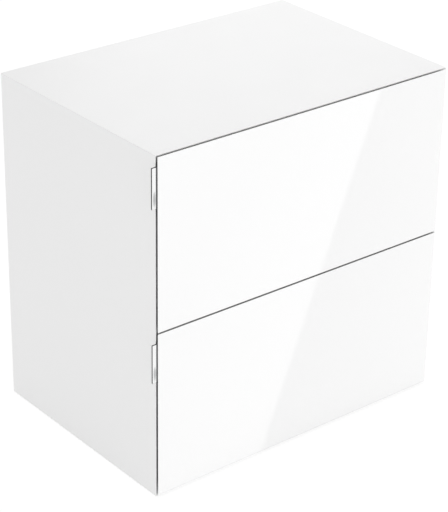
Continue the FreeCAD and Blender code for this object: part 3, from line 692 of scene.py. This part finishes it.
for kind, (web, lip_end, height, holes) in CHANNELS.items():
    channel_shape = bmesh.new()
    section = [channel_shape.verts.new((distance, RUNNER_FRONT, level))
               for distance, level in thickened(section_line(web, lip_end, height), RUNNER_STEEL)]
    raise_faces(channel_shape, [channel_shape.faces.new(section)], (0, RUNNER_BACK - RUNNER_FRONT, 0))
    bmesh.ops.recalc_face_normals(channel_shape, faces=channel_shape.faces[:])
    soften(channel_shape, STRIP_ARRIS, segments=1)
    punched = mesh_object(f"{kind}_channel_pattern", channel_shape)
    carve(punched, punches(holes, web - RUNNER_STEEL, web + RUNNER_STEEL))
    channel_pattern = pattern_of(punched)
    for drawer in DRAWERS:
        bodies = {"cabinet": "cabinet", "middle": f"{drawer}_middle_members", "drawer": f"{drawer}_drawer"}
        for side in SIDES:
            channel = mesh_object(f"{drawer}_{kind}_channel_{side}", at_runner(channel_pattern, drawer, side),
                                  zinc_steel, bodies[kind])
            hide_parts(f"{drawer}_{kind}_member_{side}")

# Pull tabs: a strip of 2 mm steel, bent round the front's mitre and screwed to it with two countersunk
# screws. The face that stands out is ground and chromed, with a darker, rougher patch low down that is a
# painted dark reflection. The bend and the leg are dark grey, painted shade of the gap beside the front,
# and the tip, the upper and the lower edge have a narrow near-black rim of painted shade.
TAB_TIP, TAB_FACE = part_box("upper_pull_tab")[0].xy
TAB_THICK = 0.002
TAB_CORNER_X = -0.3476
TAB_BRIGHT_END = -0.3511
TAB_BEND = math.radians(45)
TAB_BEND_RADIUS = 0.004
TAB_BEND_STEPS = 8
TAB_BEND_SHORT = TAB_BEND_RADIUS * math.tan(TAB_BEND / 2)
TAB_LEG = 0.022 - TAB_BEND_SHORT
TAB_EDGE_ROUND = 0.00085
TAB_EDGE_SEGMENTS = 4
TAB_CORNER = 0.0012
TAB_CORNER_SEGMENTS = 5
TAB_RIM = 0.0011
DARK_REFLECTION_X = -0.3543
DARK_REFLECTION_HEIGHT = 0.019
DARK_REFLECTION_REACH = (0.0040, 0.019)
LOOKS_DOWN = -0.5
ALONG_AXIS = 0.9999
ALONG_MITRE = 0.0001
CHROME_GREYS = ((0.86, 0.865, 0.87), (0.92, 0.922, 0.925))
DARK_REFLECTION_GREYS = ((0.47, 0.475, 0.48), (0.53, 0.535, 0.54))
SHADE_LINE_GREYS = ((0.008, 0.008, 0.009), (0.018, 0.018, 0.019))
TAB_GAP_SHADE_GREYS = ((0.06, 0.06, 0.062), (0.11, 0.11, 0.113))
COUNTERSINK = [(0, 0.0005), (0.0028, 0.0005), (0.0028, -0.0001), (0.00165, -0.00125), (0.00165, -0.003),
               (0, -0.003)]
chrome, shader, at = surface_material("polished_chrome")
x, y, z = axes(at)
polish = noise(stretched(at, z=0.04), waves=1400)
haze = noise(at, waves=90, detail=3)
# A soft patch low on the chrome face is darker and rougher: a painted dark reflection.
from_upper, from_lower = (abs(z - (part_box(f"{drawer}_pull_tab")[0].z + DARK_REFLECTION_HEIGHT)) for drawer in DRAWERS)
reflection_across = (x - DARK_REFLECTION_X) * (1 / DARK_REFLECTION_REACH[0])
reflection_along = from_upper.maths("MINIMUM", from_lower) * (1 / DARK_REFLECTION_REACH[1])
dark_reflection = 1 - (reflection_along * reflection_along + reflection_across * reflection_across).between(0.0, 1.0)
plug(shader, Metallic=1.0,
     Base_Color=colour_mix(dark_reflection, colour_mix(haze, *CHROME_GREYS), colour_mix(haze, *DARK_REFLECTION_GREYS)),
     Roughness=0.07 + haze * 0.07 + polish * 0.03 + dark_reflection * 0.2,
     Normal=relief(polish, depth=0.000004, strength=0.5))
# A near-black finish for painted shade lines at the tab's tip, its upper rim and its faces that look down.
shade_line, shader, at = surface_material("painted_shade_line")
burr = noise(stretched(at, z=0.2), waves=2200)
plug(shader, Base_Color=colour_mix(burr, *SHADE_LINE_GREYS), Specular_IOR_Level=0.2,
     Roughness=0.5 + burr * 0.15, Normal=relief(burr, depth=0.00002, strength=0.6))
# The bend and the leg are dark grey: painted shade of the gap beside the front's edge.
gap_shade_steel, shader, at = surface_material("gap_shade_steel")
gap_shade_mottle = noise(stretched(at, z=0.08), waves=1600, detail=3)
plug(shader, Metallic=0.3, Base_Color=colour_mix(gap_shade_mottle, *TAB_GAP_SHADE_GREYS),
     Roughness=0.4 + gap_shade_mottle * 0.15, Normal=relief(gap_shade_mottle, depth=0.00002, strength=0.5))
tab_finishes = [chrome, shade_line, gap_shade_steel]


def extend(shape, rim, move):
    """Extrude a section's last edge by a move, and return its new edge."""
    made = bmesh.ops.extrude_edge_only(shape, edges=[rim])["geom"]
    corners = [part for part in made if isinstance(part, bmesh.types.BMVert)]
    bmesh.ops.translate(shape, vec=move, verts=corners)
    return next(part for part in made if isinstance(part, bmesh.types.BMEdge) and len(part.link_faces) == 1
                and all(vertex in corners for vertex in part.verts))


def tab_finish(middle, normal, top):
    """The finish of a tab's face, by its middle, its normal and the height of the tab's upper edge."""
    # Past the chrome's end, the bend and the leg get the painted gap shade.
    if middle.x > TAB_BRIGHT_END:
        return gap_shade_steel
    # The tip, the upper rim and the faces that look down get the painted shade line.
    if middle.x < TAB_TIP + TAB_RIM or middle.z > top - TAB_RIM or normal.z < LOOKS_DOWN:
        return shade_line
    return chrome


def is_flat(normal):
    """Whether a normal lies along an axis or along the mitre, as those of the strip's flat faces do."""
    tilt = [abs(part) for part in normal]
    return max(tilt) >= ALONG_AXIS or abs(tilt[0] - tilt[1]) <= ALONG_MITRE


countersink = lathe(COUNTERSINK)
for drawer in DRAWERS:
    low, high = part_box(f"{drawer}_pull_tab")
    strip = bmesh.new()
    ends = [strip.verts.new((TAB_TIP, y_place, low.z)) for y_place in (TAB_FACE, TAB_FACE + TAB_THICK)]
    rim = extend(strip, strip.edges.new(ends), (TAB_CORNER_X - TAB_BEND_SHORT - TAB_TIP, 0, 0))
    bend_end = bmesh.ops.spin(strip, geom=[rim, *rim.verts], axis=(0, 0, 1), angle=TAB_BEND,
                              cent=(TAB_CORNER_X - TAB_BEND_SHORT, TAB_FACE + TAB_BEND_RADIUS, low.z),
                              steps=TAB_BEND_STEPS)["geom_last"]
    rim = next(part for part in bend_end if isinstance(part, bmesh.types.BMEdge))
    extend(strip, rim, (TAB_LEG * DIAGONAL, TAB_LEG * DIAGONAL, 0))
    raise_faces(strip, strip.faces[:], (0, 0, high.z - low.z))
    bmesh.ops.recalc_face_normals(strip, faces=strip.faces[:])
    tip_edges = [edge for edge in strip.edges
                 if all(abs(vertex.co.x - TAB_TIP) < MERGE_WITHIN for vertex in edge.verts)
                 and abs(edge.verts[0].co.y - edge.verts[1].co.y) > TAB_THICK / 2]
    bmesh.ops.bevel(strip, geom=tip_edges, affect="EDGES", offset=TAB_CORNER, segments=TAB_CORNER_SEGMENTS,
                    profile=0.5, material=-1)
    soften(strip, TAB_EDGE_ROUND, TAB_EDGE_SEGMENTS)
    finish_limits = [((TAB_BRIGHT_END, 0, 0), (1, 0, 0)), ((TAB_TIP + TAB_RIM, 0, 0), (1, 0, 0)),
                     ((0, 0, high.z - TAB_RIM), (0, 0, 1))]
    for point, normal in finish_limits:
        bmesh.ops.bisect_plane(strip, geom=strip.verts[:] + strip.edges[:] + strip.faces[:],
                               dist=MERGE_WITHIN, plane_co=point, plane_no=normal)
    for face in strip.faces:
        finish = tab_finish(face.calc_center_median(), face.normal, high.z)
        face.material_index = tab_finishes.index(finish)
        face.smooth = not is_flat(face.normal)
    tab = mesh_object(f"{drawer}_tab_strip", strip, chrome, f"{drawer}_drawer")
    tab.data.materials.append(shade_line)
    tab.data.materials.append(gap_shade_steel)
    carve(tab, placed(countersink, into_mitres[drawer]))
    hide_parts(f"{drawer}_pull_tab")
